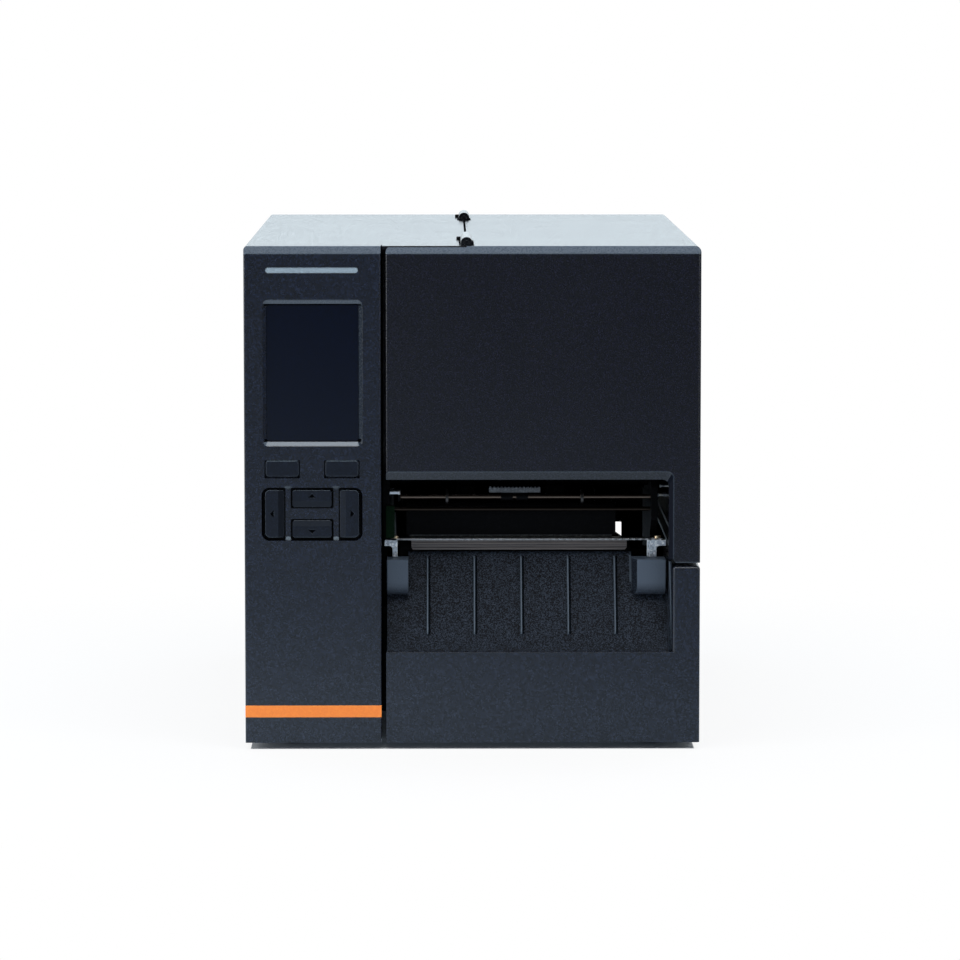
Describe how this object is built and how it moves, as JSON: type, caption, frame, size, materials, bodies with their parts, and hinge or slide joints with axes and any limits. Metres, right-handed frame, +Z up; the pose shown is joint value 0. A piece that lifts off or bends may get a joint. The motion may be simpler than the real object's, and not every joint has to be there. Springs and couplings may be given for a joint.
{
  "type": "label printer",
  "caption": "Industrial thermal label printer with operator panel, lifting media door, label exit with tear-off bar, print head, roller drive and media bay.",
  "frame": {"origin": "on the table, under the middle of the housing", "axes": "+Z up, -Y towards the front with the label exit, +X to the right seen from the front"},
  "size_m": [0.274, 0.436, 0.3089],
  "materials": {
    "housing_paint": "satin",
    "front_moulding": "fine texture",
    "chute_plastic": "coarse texture",
    "accent_orange": "satin",
    "light_lens": "frosted",
    "display_black": "gloss",
    "key_rubber": "satin",
    "window_smoke": "smoked",
    "rear_paint": "satin",
    "cast_black": "black-finished casting",
    "bright_steel": "brushed",
    "black_steel": "blackened",
    "die_cast_mounts": "as cast",
    "screw_metal": "satin",
    "bar_black": "satin",
    "black_plastic": "satin",
    "hinge_black": "satin",
    "roller_rubber": "ground",
    "damper_metal": "satin",
    "gear_plastic": "satin",
    "motor_steel": "satin",
    "head_ceramic": "glazed",
    "comb_grey": "satin",
    "board_green": "solder mask"
  },
  "bodies": {
    "housing": {"front_panel": "front_moulding", "accent_strip": "accent_orange", "status_light_bar": "light_lens", "display_glass": "display_black", "operator_board": "board_green", "base_tray": "rear_paint", "feet": "roller_rubber", "centre_plate": "cast_black", "left_cover": "housing_paint", "door_bumpers": "roller_rubber", "rear_panel": "rear_paint", "lower_front_cover": "front_moulding", "lower_side_cover": "housing_paint", "exit_chute": "chute_plastic", "hinge_fixed_leaves": "hinge_black", "hinge_pins": "hinge_black", "tear_bar": "bar_black", "tear_blade": "bright_steel", "tear_bar_mounts": "die_cast_mounts", "tear_bar_screws": "screw_metal", "outer_bracket": "cast_black", "media_deck": "cast_black", "drive_motor": "motor_steel", "head_pivot_shaft": "black_steel", "ribbon_rods": "black_steel", "rod_clips": "black_steel", "rod_tab": "black_steel", "ribbon_sensor": "black_plastic", "serrated_strip": "comb_grey", "exit_sensor_board": "board_green", "media_hanger": "black_plastic", "main_board": "board_green", "data_ports": "bright_steel", "power_supply": "motor_steel", "power_inlet": "black_plastic"},
    "door": {"door_shell": "housing_paint", "door_window": "window_smoke", "hinge_door_leaves": "hinge_black"},
    "left_arrow": {"left_key": "key_rubber"},
    "right_arrow": {"right_key": "key_rubber"},
    "up_arrow": {"up_key": "key_rubber"},
    "down_arrow": {"down_key": "key_rubber"},
    "soft_left": {"left_soft_key": "key_rubber"},
    "soft_right": {"right_soft_key": "key_rubber"},
    "platen": {"platen_roller": "roller_rubber", "platen_shaft": "black_steel", "platen_gear": "gear_plastic"},
    "idler": {"idler_gear": "gear_plastic"},
    "motor_rotor": {"motor_pinion": "motor_steel"},
    "print_head": {"thermal_head": "head_ceramic", "head_bracket": "cast_black", "head_cover": "black_plastic"},
    "head_cams": {"cam_shaft": "black_steel", "head_lever": "black_plastic"},
    "ribbon_supply": {"ribbon_supply_spindle": "black_plastic"},
    "ribbon_take_up": {"ribbon_take_up_spindle": "black_plastic"},
    "roll_guard": {"media_guard": "black_plastic"},
    "label_guide": {"media_guide": "black_plastic"},
    "damper": {"damper_arm": "damper_metal"},
    "rocker": {"power_switch": "black_plastic"}
  },
  "joints": [
    {"name": "door_lift", "type": "hinge", "parent": "housing", "child": "door", "pos_m": [-0.0035, 0, 0.3054], "axis": [0, -1, 0], "range_deg": [0, 150]},
    {"name": "left_key_press", "type": "slide", "parent": "housing", "child": "left_arrow", "axis": [0, 1, 0], "range_m": [0, 0.0008], "stiffness_N_per_m": 600},
    {"name": "right_key_press", "type": "slide", "parent": "housing", "child": "right_arrow", "axis": [0, 1, 0], "range_m": [0, 0.0008], "stiffness_N_per_m": 600},
    {"name": "up_key_press", "type": "slide", "parent": "housing", "child": "up_arrow", "axis": [0, 1, 0], "range_m": [0, 0.0008], "stiffness_N_per_m": 600},
    {"name": "down_key_press", "type": "slide", "parent": "housing", "child": "down_arrow", "axis": [0, 1, 0], "range_m": [0, 0.0008], "stiffness_N_per_m": 600},
    {"name": "left_soft_key_press", "type": "slide", "parent": "housing", "child": "soft_left", "axis": [0, 1, 0], "range_m": [0, 0.0008], "stiffness_N_per_m": 600},
    {"name": "right_soft_key_press", "type": "slide", "parent": "housing", "child": "soft_right", "axis": [0, 1, 0], "range_m": [0, 0.0008], "stiffness_N_per_m": 600},
    {"name": "platen_turn", "type": "hinge", "parent": "housing", "child": "platen", "pos_m": [-0.044, -0.176, 0.115], "axis": [1, 0, 0], "continuous": true},
    {"name": "idler_turn", "type": "hinge", "parent": "housing", "child": "idler", "pos_m": [-0.066, -0.13832, 0.12871], "axis": [1, 0, 0], "continuous": true},
    {"name": "motor_turn", "type": "hinge", "parent": "housing", "child": "motor_rotor", "pos_m": [-0.066, -0.10322, 0.12871], "axis": [1, 0, 0], "continuous": true},
    {"name": "head_lever_turn", "type": "hinge", "parent": "housing", "child": "head_cams", "pos_m": [0.113, -0.155, 0.158], "axis": [1, 0, 0], "range_deg": [0, 90]},
    {"name": "head_lift", "type": "hinge", "parent": "housing", "child": "print_head", "pos_m": [-0.04, -0.095, 0.15], "axis": [-1, 0, 0], "range_deg": [0, 4.5]},
    {"name": "ribbon_supply_turn", "type": "hinge", "parent": "housing", "child": "ribbon_supply", "pos_m": [-0.05, -0.02, 0.232], "axis": [1, 0, 0], "continuous": true},
    {"name": "ribbon_take_up_turn", "type": "hinge", "parent": "housing", "child": "ribbon_take_up", "pos_m": [-0.05, -0.135, 0.232], "axis": [1, 0, 0], "continuous": true},
    {"name": "guard_slide", "type": "slide", "parent": "housing", "child": "roll_guard", "axis": [-1, 0, 0], "range_m": [0, 0.08]},
    {"name": "guide_slide", "type": "slide", "parent": "housing", "child": "label_guide", "axis": [-1, 0, 0], "range_m": [0, 0.06]},
    {"name": "damper_swing", "type": "hinge", "parent": "housing", "child": "damper", "pos_m": [-0.05, -0.07, 0.076], "axis": [1, 0, 0], "range_deg": [0, 25], "stiffness_Nm_per_rad": 0.12},
    {"name": "power_rocker", "type": "hinge", "parent": "housing", "child": "rocker", "pos_m": [-0.08, 0.212, 0.085], "axis": [1, 0, 0], "range_deg": [-18, 0]}
  ],
  "couplings": [
    {"joint": "idler_turn", "follows": "platen_turn", "ratio": -0.6},
    {"joint": "motor_turn", "follows": "platen_turn", "ratio": 1.5},
    {"joint": "head_lift", "follows": "head_lever_turn", "ratio": 0.05}
  ]
}
